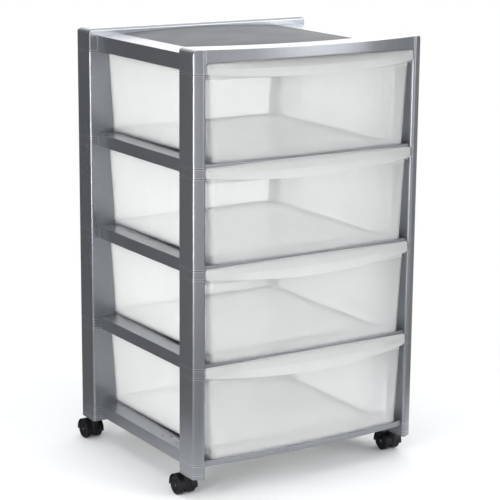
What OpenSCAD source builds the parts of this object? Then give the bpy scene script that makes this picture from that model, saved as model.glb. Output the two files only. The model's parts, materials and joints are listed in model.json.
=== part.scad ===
// Drawer tower: four frosted drawers in a silver plastic frame on twin-wheel castors.
// Millimetres, +Z up, drawers open towards -Y, origin on the floor at the middle of the whole.

/* [Tower] */
// Overall width across the corner posts
tower_w = 400; // [360:1:460]
// Depth from the front face to the back face of the posts
frame_d = 356; // [320:1:420]
// How far the top front rail bows out beyond the posts in the middle
front_bow = 30; // [16:1:40]
// How far a drawer handle reaches out beyond the posts in the middle
handle_reach = 34; // [24:1:44]

/* [Posts] */
// Height of each corner post between two frames
post_h = 134; // [110:1:180]
// Depth of every post, front to back
post_d = 42.5; // [34:0.5:52]
// Width of a front post
front_post_w = 18.2; // [16:0.1:26]
// Radius of the posts' upright edges
post_r = 4; // [3.2:0.1:5]
// Wall of a post and of the sockets it plugs into
post_wall = 2.4; // [2:0.1:2.8]
// Length of the spigot on each end of a post
spigot_h = 5; // [3:0.1:6]
// Side clearance of a spigot in its socket
spigot_gap = 0.2; // [0.1:0.05:0.4]

/* [Frames] */
// Height of the corner blocks that join two posts
block_h = 14; // [13:0.5:20]
// Height of the side and rear rails, up to the ledge that carries a drawer
rail_h = 19; // [18:0.5:24]
// How far the side rails stand in from the posts' outer face
rail_inset = 14; // [8:0.5:18]
// Width of the ledge that carries a drawer
ledge_w = 44; // [34:1:56]
// Wall of the moulded frames
frame_wall = 2.5; // [2:0.1:3]
// Height of the thin front rail of a frame
front_rail_h = 8.5; // [6:0.5:11]
// How far the rear rails stand in from the posts' back face
rear_inset = 4.5; // [4.2:0.1:8]
// Height of the lip behind a drawer, which stops it
stop_h = 4; // [2:0.5:6]

/* [Top] */
// Height of the top frame's corners, from the posts to the raised rails' top
top_h = 34.5; // [31:0.5:44]
// Height of the top frame's side rails
top_side_h = 24; // [20:0.5:26]
// Width of the light strip on each side of the top panel
side_strip_w = 43; // [30:1:60]
// Radius of the raised rails' outer top corners
top_corner_r = 8; // [5:0.5:11]
// Radius of the rear rail's back top edge
rear_edge_r = 12; // [6:0.5:14]
// Radius of the rear rail's front top edge
rear_lip_r = 4; // [2:0.5:5]
// Thickness of the inset top panel
panel_t = 2.5; // [2:0.1:3]
// How much higher the top panel is in its middle than at its sides
panel_crown = 5; // [2:0.5:8]
// Depth of the panel's edge flanges below its top face
panel_flange_h = 4.5; // [4:0.1:6]
// Width of the ledge under the panel's edge
panel_ledge_w = 8; // [5:0.5:12]

/* [Drawers] */
// How much wider each side of a drawer is at its top, behind the front posts
side_draft = 9.5; // [4:0.5:10]
// How much wider each side of its front part is at the top
front_draft = 7; // [4:0.5:9]
// How much narrower each side of a drawer is behind the front posts, at its top
body_step = 13; // [8:0.5:15]
// How much further back the rear wall stands at its top
back_draft = 2; // [0:0.5:5]
// Room behind a drawer, up to the posts' back face
back_room = 19.3; // [14:0.1:30]
// Wall of a drawer
drawer_wall = 2.2; // [1.8:0.1:3]
// Upright corner radius at the drawer's front
front_corner_r = 12; // [6:0.5:18]
// Upright corner radius at the drawer's back
back_corner_r = 8; // [5:0.5:14]
// Radius between the floor and the walls
floor_fillet = 3; // [2:0.5:5]
// How far the floor's front edge stands ahead of the posts at its ends
floor_lead = 3; // [1:0.5:4]
// How far the floor's front edge bows out in the middle
floor_bow = 8; // [4:0.5:12]
// How far the top of the front wall stands ahead of the posts at its ends
wall_lead = 4.5; // [3:0.5:5]
// How far the top of the front wall bows out in the middle
wall_bow = 10.5; // [6:0.5:14]
// Width of the rim round the sides and back
rim_w = 2; // [1.4:0.1:3]
// Height of that rim
rim_h = 4.2; // [3:0.1:6]
// Height of the handle at its ends
handle_end_h = 15; // [12:0.5:16]
// How far the handle's ends stand above the corner blocks beside them
handle_over = 0.9; // [0:0.1:2]
// How much higher the handle's top edge is in the middle
handle_rise = 4; // [2:0.5:5]
// How much lower the handle's bottom edge is in the middle
handle_droop = 7; // [3:0.5:12]
// Outward swelling of the handle between its two edges
handle_swell = 2.4; // [0:0.1:4]
// How far forward of the posts the top of the handle stands in the middle
handle_top_bow = 17; // [16:0.5:19]
// How far a drawer slides out
drawer_travel = 250; // [150:5:270]

/* [Castors] */
// Height of a castor from the floor to the foot cap
castor_h = 35; // [33:0.5:42]
// Radius of a wheel
wheel_r = 14.6; // [12:0.1:15.2]
// Width of a wheel
wheel_w = 9; // [7:0.1:10]
// Distance from the swivel axis back to the wheels' axle
castor_trail = 12; // [9:0.5:14]
// Width of the web between the two wheels
web_w = 10; // [9.6:0.1:14]
// Radius of the axle
axle_r = 2.5; // [2:0.05:3]
// Radius of the stem in the foot cap
stem_r = 4; // [3.6:0.05:4.4]
// Radius of the stem in the hood
stem_foot_r = 3; // [2.5:0.05:3.4]
// Wall of the hood over the wheels
hood_wall = 1.6; // [1.2:0.1:2]
// Height of a foot cap
cap_h = 7; // [6:0.5:10]
// Distance from the posts' outer face to the swivel axis
stem_inset = 9.5; // [9:0.1:12]
// Distance from the posts' front face to the front castors' swivel axis
stem_from_front = 33; // [20:0.5:34]
// Distance from the posts' back face to the rear castors' swivel axis
stem_from_back = 24; // [12:0.5:32]

/* [Clearances] */
// Gap between a drawer and the ledge, posts and rails beside it
slide_gap = 0.3; // [0.2:0.05:0.6]
// Gap between a drawer's side rim and the front post
rim_side_gap = 2.3; // [0.6:0.1:3]
// Gap between a drawer's side rim and the rear post
guide_gap = 0.9; // [0.6:0.1:2]
// Gap between a drawer's rim and the frame above it
rim_gap = 1.8; // [1:0.1:3]
// Gap between a handle and the posts and top rail round it
handle_gap = 0.6; // [0.4:0.1:1.2]
// Gap round the top panel
panel_gap = 0.3; // [0.2:0.05:0.6]
// Gap between a wheel and what is beside it
wheel_gap = 0.4; // [0.3:0.05:0.8]
// Radial clearance of a pin that turns in its bore
pin_gap = 0.05; // [0.02:0.01:0.09]
// Gap between the castor's collar and the foot cap
collar_gap = 0.3; // [0.2:0.05:0.5]

/* [Hidden] */
tiers = 4;
pitch = post_h + block_h;
half_w = tower_w / 2;
axle_z = wheel_r;
hood_in_r = wheel_r + 3 * wheel_gap;
hood_r = hood_in_r + hood_wall;
wheel_x = web_w / 2 + wheel_gap;
hood_half = wheel_x + wheel_w + wheel_gap;
boss_wall = 2.5;
collar_h = 1.2;
boss_r = stem_r + boss_wall;
boss_z = castor_h - collar_gap - collar_h;
web_low_z = 7;
castor_overhang = max(0, castor_trail + hood_r - stem_from_back);
front_y = handle_reach - (handle_reach + frame_d + castor_overhang) / 2;
back_y = front_y + frame_d;
post_in_y = front_y + post_d;
stop_y = back_y - post_d;
front_in_x = half_w - front_post_w;
top_half_w = front_in_x - rim_side_gap - rim_w;
floor_half_w = top_half_w - front_draft;
body_top_w = top_half_w - body_step;
body_half_w = body_top_w - side_draft;
rail_x = half_w - rail_inset;
ledge_x = rail_x - ledge_w;
base_z = castor_h + cap_h;
top_z = base_z + tiers * pitch;
panel_x = rail_x - side_strip_w;
drawer_low = rail_h + slide_gap;
drawer_high = pitch - rim_gap;
drawer_back_y = back_y - back_room;
step_y = post_in_y - rim_w;
min_r = 0.8;
round_n = 48;
arc_n = 720;
clear = 1;
through = 2 * (tower_w + frame_d);
spigot_inset = post_wall + spigot_gap;
bore_inset = spigot_inset + 2;
block_lap = 0.3;
post_land = 8;
socket_spare = 0.5;

// Radius of the arc through (+-half, 0) whose middle lies `sag` away, and its height at x
function arc_r(half, sag) = (half * half + sag * sag) / (2 * sag);
function arc_drop(x, r) = r - sqrt(r * r - x * x);
bow_r = arc_r(half_w, front_bow);
post_slant = front_bow - arc_drop(front_in_x, bow_r);

// Inner edge of a rear post at height z over its frame: it follows the slanted side of the drawer
function guide_x(z) = body_half_w + rim_w + guide_gap + side_draft * (z - drawer_low) / (drawer_high - drawer_low);
rear_in_x = guide_x(block_h) - block_lap;
rear_top_x = guide_x(pitch);

SIDES = ["left", "right"];
CORNERS = ["front_left", "front_right", "rear_left", "rear_right"];
function sign_x(name) = (name == "front_left" || name == "rear_left" || name == "left") ? -1 : 1;
function is_front(name) = name == "front_left" || name == "front_right";

// Colours as they look in the light
silver = "#a7adb1";
grey_panel = "#8b9197";
frosted = "#e6e9e8";
black = "#1d1c20";
steel = "#b9bcc0";

// ---------- outlines ----------

// A convex outline with equal round corners, from its corner centres in counter-clockwise order
module round_outline(centres, r) {
    n = len(centres);
    function away(a, b) = [b.y - a.y, a.x - b.x] / norm(b - a) * r;
    polygon([for (i = [0:n - 1]) each [
        centres[i] + away(centres[(i + n - 1) % n], centres[i]),
        centres[i] + away(centres[i], centres[(i + 1) % n])
    ]]);
    for (c = centres) translate(c) circle(r, $fn = round_n);
}

// Footprint of a right-hand front post, drawn in by `inset` all round
module front_post_outline(inset = 0) {
    r = max(post_r - inset, min_r);
    edge = inset + r;
    round_outline([
        [front_in_x + edge, front_y - post_slant + edge],
        [half_w - edge, front_y + edge],
        [half_w - edge, post_in_y - edge],
        [front_in_x + edge, post_in_y - edge]
    ], r);
}

// Footprint of a right-hand rear post from `in_x` outwards, drawn in by `inset` all round
module rear_post_outline(inset, in_x) {
    r = max(post_r - inset, min_r);
    edge = inset + r;
    round_outline([
        [in_x + edge, stop_y + edge],
        [half_w - edge, stop_y + edge],
        [half_w - edge, back_y - edge],
        [in_x + edge, back_y - edge]
    ], r);
}

// Footprint of the post at a named corner; a rear post is narrower at its top
module post_outline(corner, inset = 0, at_top = false) {
    mirror([sign_x(corner) < 0 ? 1 : 0, 0]) {
        if (is_front(corner)) {
            front_post_outline(inset);
        } else {
            rear_post_outline(inset, at_top ? rear_top_x : rear_in_x);
        }
    }
}

// What a slanted inner edge takes off a rear post between two heights, with `set` to spare
module guide_cut(corner, set = 0) {
    reach = post_h + 2 * clear;
    if (!is_front(corner)) {
        mirror([sign_x(corner) < 0 ? 1 : 0, 0, 0]) along_y(stop_y - clear, back_y + clear) polygon([
            [0, -clear],
            [guide_x(block_h - clear) + set, -clear],
            [guide_x(block_h + reach) + set, reach],
            [0, reach]
        ]);
    }
}

// Everything behind an arc that bows towards the front: `mid_y` in the middle, `end_y` at x = half
module behind_arc(mid_y, end_y, half, grow = 0) {
    r = arc_r(half, end_y - mid_y);
    translate([0, mid_y + r]) circle(r + grow, $fn = arc_n);
}

// A block between two corners
module block(low, high) {
    translate(low) cube(high - low);
}

// A slab that is drawn in X and Z and runs from y0 to y1
module along_y(y0, y1) {
    translate([0, y1, 0]) rotate([90, 0, 0]) linear_extrude(y1 - y0) children();
}

// ---------- posts and foot caps ----------

// One hollow corner post with a spigot at each end; tier 1 is the top one
module post(corner, tier) {
    z = base_z + (tiers - tier) * pitch + block_h;
    plug_h = spigot_h + post_land;
    color(silver) translate([0, 0, z]) difference() {
        union() {
            difference() {
                linear_extrude(post_h) post_outline(corner);
                guide_cut(corner);
            }
            translate([0, 0, -spigot_h]) linear_extrude(plug_h) post_outline(corner, spigot_inset);
            translate([0, 0, post_h - post_land]) linear_extrude(plug_h) post_outline(corner, spigot_inset, true);
        }
        difference() {
            translate([0, 0, post_land]) linear_extrude(post_h - 2 * post_land) post_outline(corner, post_wall);
            guide_cut(corner, post_wall);
        }
        translate([0, 0, -spigot_h - clear]) linear_extrude(plug_h + 2 * clear) post_outline(corner, bore_inset);
        translate([0, 0, post_h - post_land - clear])
            linear_extrude(plug_h + 2 * clear) post_outline(corner, bore_inset, true);
    }
}

function stem_x(corner) = sign_x(corner) * (half_w - stem_inset);
function stem_y(corner) = is_front(corner) ? front_y + stem_from_front : back_y - stem_from_back;

// Cap under a corner of the base frame, with the sleeve that holds the castor's stem
module foot_cap(corner) {
    color(silver) difference() {
        union() {
            translate([0, 0, castor_h]) linear_extrude(cap_h) post_outline(corner);
            translate([0, 0, castor_h]) linear_extrude(cap_h + spigot_h) post_outline(corner, spigot_inset, true);
        }
        translate([stem_x(corner), stem_y(corner), castor_h - clear])
            cylinder(r = stem_r + pin_gap, h = cap_h + spigot_h + 2 * clear, $fn = round_n);
    }
}

// ---------- shelf and base frames ----------

// Plan of the thin front rail, bowed like the drawers' floors
rail_set = 0.2;
rail_lead = 2.6;
rail_end_in = 0.6;
rail_end_x = front_in_x - rail_set;
module front_rail_outline(inset = 0) {
    intersection() {
        behind_arc(front_y - floor_bow - rail_lead, front_y + rail_end_in, front_in_x, -inset);
        translate([-rail_end_x + inset, front_y - handle_reach])
            square([2 * (rail_end_x - inset), post_d + handle_reach - rail_set - inset]);
    }
}

// The moulded ring that ties four posts together and carries a drawer on its ledges
module ring_frame(z) {
    rail_z = rail_h - front_rail_h;
    pocket_h = rail_h - frame_wall;
    rear_face = back_y - rear_inset;
    lip_y = drawer_back_y - rim_w - back_draft + 2 * slide_gap;
    rear_end_x = rear_in_x - rail_set;
    tie = 3;
    color(silver) translate([0, 0, z]) difference() {
        union() {
            for (c = CORNERS) linear_extrude(block_h) post_outline(c);
            translate([0, 0, rail_z]) linear_extrude(front_rail_h) front_rail_outline();
            for (s = [-1, 1]) {
                block([min(s * ledge_x, s * rail_x), post_in_y + rail_set, 0],
                      [max(s * ledge_x, s * rail_x), stop_y - rail_set, rail_h]);
                block([min(s * ledge_x, s * (rail_end_x - clear)), post_in_y - tie, rail_z],
                      [max(s * ledge_x, s * (rail_end_x - clear)), post_in_y + tie, rail_h]);
                // ties into the four corner blocks
                block([min(s * (front_in_x - tie), s * rail_x), post_in_y - post_r - tie, 0],
                      [max(s * (front_in_x - tie), s * rail_x), post_in_y + tie, block_h]);
                block([min(s * ledge_x, s * rail_x), stop_y - tie, 0],
                      [max(s * ledge_x, s * rail_x), stop_y + post_r + tie, block_h]);
            }
            block([-rear_in_x - tie, stop_y + post_r, 0], [rear_in_x + tie, rear_face, block_h]);
            block([-rear_end_x, stop_y - tie, 0], [rear_end_x, rear_face, rail_h]);
            block([-rear_end_x, lip_y, rail_h - clear], [rear_end_x, lip_y + frame_wall, rail_h + stop_h]);
        }
        // sockets for the posts' spigots, above and below
        for (c = CORNERS) {
            translate([0, 0, block_h - spigot_h - socket_spare])
                linear_extrude(spigot_h + socket_spare + clear) post_outline(c, post_wall);
            translate([0, 0, -clear])
                linear_extrude(spigot_h + socket_spare + clear) post_outline(c, post_wall, true);
        }
        // hollow undersides of the rails
        translate([0, 0, rail_z - clear]) linear_extrude(front_rail_h - frame_wall + clear)
            front_rail_outline(frame_wall);
        for (s = [-1, 1]) {
            block([min(s * (ledge_x + frame_wall), s * (rail_x - frame_wall)), post_in_y + frame_wall, -clear],
                  [max(s * (ledge_x + frame_wall), s * (rail_x - frame_wall)), stop_y - frame_wall, pocket_h]);
        }
        block([-rear_in_x + frame_wall, stop_y - tie + frame_wall, -clear],
              [rear_in_x - frame_wall, rear_face - frame_wall, pocket_h]);
    }
}

// Shelf frame number 1 is the upper one
module shelf_frame(number) {
    ring_frame(base_z + (tiers - number) * pitch);
}

module base_frame() {
    ring_frame(base_z);
}

// ---------- top ----------

// Front view of a raised rail: round outer top corners, legs on the posts, arched underside
module raised_rail_face(leg_x, low, rise) {
    span = 2 * half_w;
    r = arc_r(leg_x, rise);
    difference() {
        union() {
            translate([-half_w, 0]) square([span, top_h - top_corner_r]);
            translate([-half_w + top_corner_r, 0]) square([span - 2 * top_corner_r, top_h]);
            for (s = [-1, 1]) {
                translate([s * (half_w - top_corner_r), top_h - top_corner_r]) circle(top_corner_r, $fn = round_n);
            }
        }
        intersection() {
            translate([-leg_x, -clear]) square([2 * leg_x, top_h]);
            translate([0, low + rise - r]) circle(r, $fn = arc_n);
        }
    }
}

// Plan of the bowed front rail of the top, with a constant depth
module top_front_plan(inset = 0) {
    join = front_in_x + post_r;
    difference() {
        intersection() {
            behind_arc(front_y - front_bow, front_y, half_w, -inset);
            translate([-join + inset, front_y - front_bow]) square([2 * (join - inset), front_bow + post_d - inset]);
        }
        behind_arc(post_in_y - front_bow, post_in_y, front_in_x, inset);
    }
}

// Side view of the rear rail, with its two top edges rounded
module rear_rail_section() {
    depth = post_d;
    translate([stop_y, 0]) {
        square([depth, top_h - rear_edge_r]);
        translate([rear_lip_r, 0]) square([depth - rear_lip_r - rear_edge_r, top_h]);
        translate([0, 0]) square([rear_lip_r + clear, top_h - rear_lip_r]);
        translate([rear_lip_r, top_h - rear_lip_r]) circle(rear_lip_r, $fn = round_n);
        translate([depth - rear_edge_r, top_h - rear_edge_r]) circle(rear_edge_r, $fn = round_n);
    }
}

module top_frame() {
    hollow_h = top_h - frame_wall;
    ledge_top = top_side_h - panel_flange_h;
    ledge_in_x = panel_x - panel_ledge_w;
    rail_back_y = post_in_y - front_bow;
    hollow_x = front_in_x - post_wall;
    tie_drop = 0.5;
    color(silver) translate([0, 0, top_z]) difference() {
        union() {
            // bowed front rail and its two corners
            intersection() {
                linear_extrude(top_h) union() {
                    top_front_plan();
                    post_outline("front_left");
                    post_outline("front_right");
                }
                along_y(front_y - handle_reach, back_y)
                    raised_rail_face(front_in_x, block_h + handle_over + handle_gap, handle_rise);
            }
            // straight rear rail and its two corners
            intersection() {
                along_y(stop_y, back_y) raised_rail_face(rear_in_x, clear, clear / 2);
                rotate([90, 0, 90]) linear_extrude(through, center = true) rear_rail_section();
                linear_extrude(top_h) round_outline([
                    [-half_w + post_r, stop_y + post_r - clear],
                    [half_w - post_r, stop_y + post_r - clear],
                    [half_w - post_r, back_y - post_r],
                    [-half_w + post_r, back_y - post_r]
                ], post_r);
            }
            // side rails with the strips beside the panel, and the ledges under its edges
            for (s = [-1, 1]) {
                block([min(s * panel_x, s * rail_x), post_in_y - clear, 0],
                      [max(s * panel_x, s * rail_x), stop_y + clear, top_side_h]);
                block([min(s * (front_in_x - clear), s * rail_x), post_in_y - 2 * post_r, 0],
                      [max(s * (front_in_x - clear), s * rail_x), post_in_y + clear, top_side_h - tie_drop]);
                block([min(s * ledge_in_x, s * (panel_x + clear)), post_in_y, ledge_top - frame_wall],
                      [max(s * ledge_in_x, s * (panel_x + clear)), stop_y, ledge_top]);
            }
            // the strips and ledges run on to the bowed rail
            intersection() {
                linear_extrude(top_h) behind_arc(rail_back_y - clear, post_in_y - clear, front_in_x);
                for (s = [-1, 1]) {
                    block([min(s * panel_x, s * front_in_x), rail_back_y - clear, ledge_top - frame_wall],
                          [max(s * panel_x, s * front_in_x), post_in_y, top_side_h]);
                    block([min(s * ledge_in_x, s * panel_x), rail_back_y - clear, ledge_top - frame_wall],
                          [max(s * ledge_in_x, s * panel_x), post_in_y, ledge_top]);
                }
            }
        }
        for (c = CORNERS) {
            translate([0, 0, -clear])
                linear_extrude(spigot_h + socket_spare + clear) post_outline(c, post_wall, true);
        }
        // hollow undersides
        translate([0, 0, -clear]) linear_extrude(hollow_h + clear) intersection() {
            top_front_plan(frame_wall);
            translate([-hollow_x, front_y - handle_reach]) square([2 * hollow_x, frame_d]);
        }
        block([-rear_in_x + frame_wall, stop_y + frame_wall, -clear],
              [rear_in_x - frame_wall, back_y - frame_wall, top_h - rear_edge_r]);
        for (s = [-1, 1]) {
            block([min(s * (panel_x + frame_wall), s * (rail_x - frame_wall)), post_in_y + frame_wall, -clear],
                  [max(s * (panel_x + frame_wall), s * (rail_x - frame_wall)), stop_y - frame_wall,
                   top_side_h - frame_wall]);
        }
    }
}

// The matt panel between the raised rails, crowned from side to side
module top_panel() {
    edge_x = panel_x - panel_gap;
    edge_z = top_z + top_side_h;
    r = arc_r(edge_x, panel_crown);
    color(grey_panel) intersection() {
        along_y(front_y - front_bow, stop_y - panel_gap) {
            intersection() {
                translate([0, edge_z + panel_crown - r]) difference() {
                    circle(r, $fn = arc_n);
                    circle(r - panel_t, $fn = arc_n);
                }
                translate([-edge_x, edge_z - panel_t - clear]) square([2 * edge_x, panel_t + panel_crown + 2 * clear]);
            }
            for (s = [-1, 1]) {
                translate([s * (edge_x - panel_t / 2) - panel_t / 2, edge_z - panel_flange_h])
                    square([panel_t, panel_flange_h]);
            }
        }
        linear_extrude(through) behind_arc(post_in_y - front_bow, post_in_y, front_in_x, -panel_gap);
    }
}

// ---------- drawers ----------

front_n = 24;
corner_n = 8;
plan_n = front_n + 4 * corner_n + 7;
function mix(a, b, t) = a + (b - a) * t;
function arc_points(centre, r, from, first, last) =
    [for (k = [first:last]) centre + r * [cos(from + 90 * k / corner_n), sin(from + 90 * k / corner_n)]];

// Plan of a drawer wall: bowed front, small front corners, and sides that step in behind the front posts
function wall_plan(half, body, end_y, bow, y_step, y_back, rf, rb) = concat(
    [for (k = [0:front_n]) [across(k) * (half - rf), end_y - bow * crown_at(k)]],
    arc_points([half - rf, end_y + rf], rf, -90, 1, corner_n),
    [[half, y_step], [body, y_step]],
    arc_points([body - rb, y_back - rb], rb, 0, 0, corner_n),
    arc_points([rb - body, y_back - rb], rb, 90, 0, corner_n),
    [[-body, y_step], [-half, y_step]],
    arc_points([rf - half, end_y + rf], rf, 180, 0, corner_n - 1)
);

// Where a point of the plan is: from -1 to 1 along the front, and how far round a front corner
function across(j) = 2 * j / front_n - 1;
function crown_at(j) = j > front_n ? 0 : 1 - pow(across(j), 2);
function corner_step(j) = j <= front_n ? 0 : min(j - front_n, plan_n - j);
// The handle is hollow in its middle part, and its plate ends part way round each front corner
open_share = 0.8;
plate_steps = 6;
function is_open(j) = j <= front_n && abs(across(j)) < open_share;
function is_plate(j) = corner_step(j) <= plate_steps;

// Plan of the handle: it runs on past the walls to the posts and turns back to the side rim
handle_half = front_in_x - handle_gap;
handle_r = 2.4;
wall_y = front_y - wall_lead;
handle_top_y = wall_y - 1;
handle_low_y = wall_y - 2;
plate_y = wall_y + drawer_wall;
ear_y = plate_y - 0.4;
rim_start_y = front_y + 3;
function ear(t, end_y, rim_x) =
    t <= 0.5 ? [handle_half - handle_r, end_y + handle_r] + handle_r * [sin(180 * t), -cos(180 * t)] :
    t <= 0.75 ? [handle_half, mix(end_y + handle_r, ear_y, (t - 0.5) * 4)] :
    [mix(handle_half, rim_x, (t - 0.75) * 4), mix(ear_y, rim_start_y, (t - 0.75) * 4)];
function handle_plan(end_y, mid_y, rim_x) = let (r = back_corner_r + rim_w, body = rim_x - body_step) concat(
    [for (k = [0:front_n]) [across(k) * (handle_half - handle_r), mix(end_y, mid_y, crown_at(k))]],
    [for (k = [1:corner_n]) ear(k / corner_n, end_y, rim_x)],
    [[rim_x, step_y + rim_w], [body, step_y + rim_w]],
    arc_points([body - r, drawer_back_y - r], r, 0, 0, corner_n),
    arc_points([r - body, drawer_back_y - r], r, 90, 0, corner_n),
    [[-body, step_y + rim_w], [-rim_x, step_y + rim_w]],
    [for (k = [corner_n:-1:1]) let (p = ear(k / corner_n, end_y, rim_x)) [-p.x, p.y]]
);

stations = [0:plan_n - 1];
function lift(plan, zs) = [for (j = stations) [plan[j].x, plan[j].y, zs[j]]];
function level(z) = [for (j = stations) z];

// A drawer is one skin of rings: up the outside, round the handle and rim, down the inside
module drawer(tier) {
    frame_z = base_z + (tiers - tier) * pitch;
    z0 = frame_z + drawer_low;
    rim_z = frame_z + drawer_high;
    handle_z = rim_z + rim_gap + block_h + handle_over;
    corner_z = handle_z - handle_end_h + drawer_wall;
    inner_z = z0 + drawer_wall + floor_fillet;
    rim_x = top_half_w + rim_w;

    function wall(inset, share) = wall_plan(
        mix(floor_half_w, top_half_w, share) - inset,
        mix(body_half_w, body_top_w, share) - inset,
        mix(front_y - floor_lead, wall_y, share) + inset,
        mix(floor_bow, wall_bow, share),
        step_y - inset,
        drawer_back_y - rim_w - back_draft * (1 - share) - inset,
        max(front_corner_r - inset, min_r),
        max(back_corner_r - inset, min_r)
    );
    outer_top = wall(0, 1);
    inner_top = wall(drawer_wall, 1);
    inner_low = wall(drawer_wall, 0);
    handle_low = handle_plan(handle_low_y, front_y - handle_reach, rim_x);
    handle_top = handle_plan(handle_top_y, front_y - handle_top_bow, rim_x);

    // heights of the top and bottom edge, with the inside of the handle's hollow
    top_edge = [for (j = stations) is_plate(j) ? handle_z + handle_rise * crown_at(j) : rim_z];
    low_edge = [for (j = stations)
        is_plate(j) ? handle_z - handle_end_h - handle_droop * crown_at(j) : rim_z - rim_h];
    mid_edge = (top_edge + low_edge) / 2;
    shoulder = [for (j = stations) is_open(j) ? top_edge[j] - drawer_wall : low_edge[j]];
    under_z = [for (j = stations) is_open(j) ? mid_edge[j] - drawer_wall / 2 : low_edge[j]];
    bulge = [for (j = stations) [0, -handle_swell * crown_at(j)]];
    handle_in = [for (j = stations)
        is_open(j) ? handle_low[j] + [0, drawer_wall] : mix(handle_low[j], outer_top[j], 1 / 3)];
    under = [for (j = stations)
        is_open(j) ? mix(handle_in[j], outer_top[j], 0.5) + bulge[j] : mix(handle_low[j], outer_top[j], 2 / 3)];

    // the plate behind the handle's ends, and the step where it meets each rounded corner
    plate_gap = 0.8;
    step_h = 1;
    plate = [for (j = stations) let (k = corner_step(j))
        k >= 1 && k <= plate_steps
            ? [sign(outer_top[j].x) * mix(top_half_w - front_corner_r, handle_half - plate_gap, k / plate_steps), plate_y]
            : inner_top[j]];
    function inside(j, z) = let (p = mix(inner_low[j], inner_top[j], (z - inner_z) / (top_edge[j] - inner_z)))
        [p.x, p.y, z];
    function on_step(j) = corner_step(j) >= 1 && is_plate(j);
    step_out = [for (j = stations)
        on_step(j) ? [plate[j].x, plate[j].y, corner_z] : inside(j, is_plate(j) ? corner_z : rim_z - step_h)];
    step_in = [for (j = stations)
        on_step(j) ? [inner_top[j].x, inner_top[j].y, corner_z]
                   : inside(j, is_plate(j) ? corner_z - 1.5 * step_h : rim_z - 2 * step_h)];

    steps = [0, 1, 2, 3];
    rings = concat(
        [for (k = steps) let (a = 30 * k)
            lift(wall(floor_fillet * (1 - sin(a)), 0), level(z0 + floor_fillet * (1 - cos(a))))],
        [lift(outer_top, shoulder)],
        [lift(under, under_z)],
        [lift(handle_in, low_edge)],
        [lift(handle_low, low_edge)],
        [lift(mix(handle_low, handle_top, 0.5) + bulge, mid_edge)],
        [lift(handle_top, top_edge - level(drawer_wall / 2))],
        [lift(mix(handle_top, plate, 0.5), top_edge)],
        [lift(plate, top_edge)],
        [step_out],
        [step_in],
        [for (k = [3:-1:0]) let (a = 30 * k)
            lift(wall(drawer_wall + floor_fillet * (1 - sin(a)), 0),
                 level(z0 + drawer_wall + floor_fillet * (1 - cos(a))))]
    );
    ring_n = len(rings);
    color(frosted, 0.6) polyhedron(
        points = [for (ring = rings) each ring],
        faces = concat(
            [[for (j = stations) j]],
            [for (i = [0:ring_n - 2], j = stations) let (a = i * plan_n + j, b = i * plan_n + (j + 1) % plan_n)
                [a, a + plan_n, b + plan_n]],
            [for (i = [0:ring_n - 2], j = stations) let (a = i * plan_n + j, b = i * plan_n + (j + 1) % plan_n)
                [a, b + plan_n, b]],
            [[for (j = [plan_n - 1:-1:0]) (ring_n - 1) * plan_n + j]]
        )
    );
}

// ---------- castors ----------

// Puts a castor's piece under its corner, with the swivel axis at x = y = 0
module at_castor(corner) {
    translate([stem_x(corner), stem_y(corner), 0]) children();
}

// A rod or ring along X, centred on the axle, behind the swivel axis
module along_axle(from, to, r) {
    translate([from, castor_trail, axle_z]) rotate([0, 90, 0]) cylinder(r = r, h = to - from, $fn = 2 * round_n);
}

// Hood over both wheels, with the web that holds the axle and the boss that holds the stem
module castor_hood(corner) {
    cover_drop = 3;
    cover_z = axle_z - cover_drop;
    color(black) at_castor(corner) difference() {
        union() {
            intersection() {
                along_axle(-hood_half, hood_half, hood_r);
                translate([-hood_half, castor_trail - hood_r, cover_z]) cube([2 * hood_half, 2 * hood_r, hood_r + cover_drop]);
            }
            intersection() {
                along_axle(-web_w / 2, web_w / 2, hood_r);
                translate([-web_w / 2, castor_trail - hood_r, web_low_z]) cube([web_w, 2 * hood_r, 2 * hood_r]);
            }
            translate([0, 0, cover_z]) cylinder(r = boss_r, h = boss_z - cover_z, $fn = round_n);
        }
        for (s = [-1, 1]) {
            along_axle(s > 0 ? web_w / 2 : -through, s > 0 ? through : -web_w / 2, hood_in_r);
        }
        along_axle(-web_w, web_w, axle_r + pin_gap / 2);
        translate([0, 0, -clear]) cylinder(r = stem_foot_r + pin_gap / 2, h = castor_h, $fn = round_n);
    }
}

// Steel stem with a collar: the thin end is held in the hood, the thick end turns in the foot cap
module castor_stem(corner) {
    stem_top = castor_h + cap_h + spigot_h - socket_spare;
    foot_drop = 2;
    foot_z = axle_z - foot_drop;
    color(steel) at_castor(corner) {
        translate([0, 0, foot_z]) cylinder(r = stem_foot_r, h = boss_z - foot_z + clear / 2, $fn = round_n);
        translate([0, 0, boss_z]) cylinder(r = boss_r - clear, h = castor_h - collar_gap - boss_z, $fn = round_n);
        translate([0, 0, boss_z]) cylinder(r = stem_r, h = stem_top - boss_z, $fn = round_n);
    }
}

module castor_axle(corner) {
    end_x = wheel_x + wheel_w - clear;
    color(steel) at_castor(corner) along_axle(-end_x, end_x, axle_r);
}

// One wheel with a bevelled tread, a sunk outer face and a hub
module wheel(corner, side) {
    bevel = 1.2;
    hub_wall = 2.5;
    tread_h = 3.5;
    sink = 1.2;
    hub_r = axle_r + hub_wall;
    rim_in_r = wheel_r - tread_h;
    color(black) at_castor(corner) translate([0, castor_trail, axle_z]) mirror([sign_x(side) < 0 ? 1 : 0, 0, 0])
        translate([wheel_x, 0, 0]) rotate([0, 90, 0]) rotate_extrude($fn = 2 * round_n) polygon([
            [axle_r + pin_gap, 0],
            [wheel_r - bevel, 0],
            [wheel_r, bevel],
            [wheel_r, wheel_w - bevel],
            [wheel_r - bevel, wheel_w],
            [rim_in_r, wheel_w],
            [rim_in_r - sink, wheel_w - sink],
            [hub_r + sink, wheel_w - sink],
            [hub_r, wheel_w],
            [axle_r + pin_gap, wheel_w]
        ]);
}

// ---------- drawn pieces ----------

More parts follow.
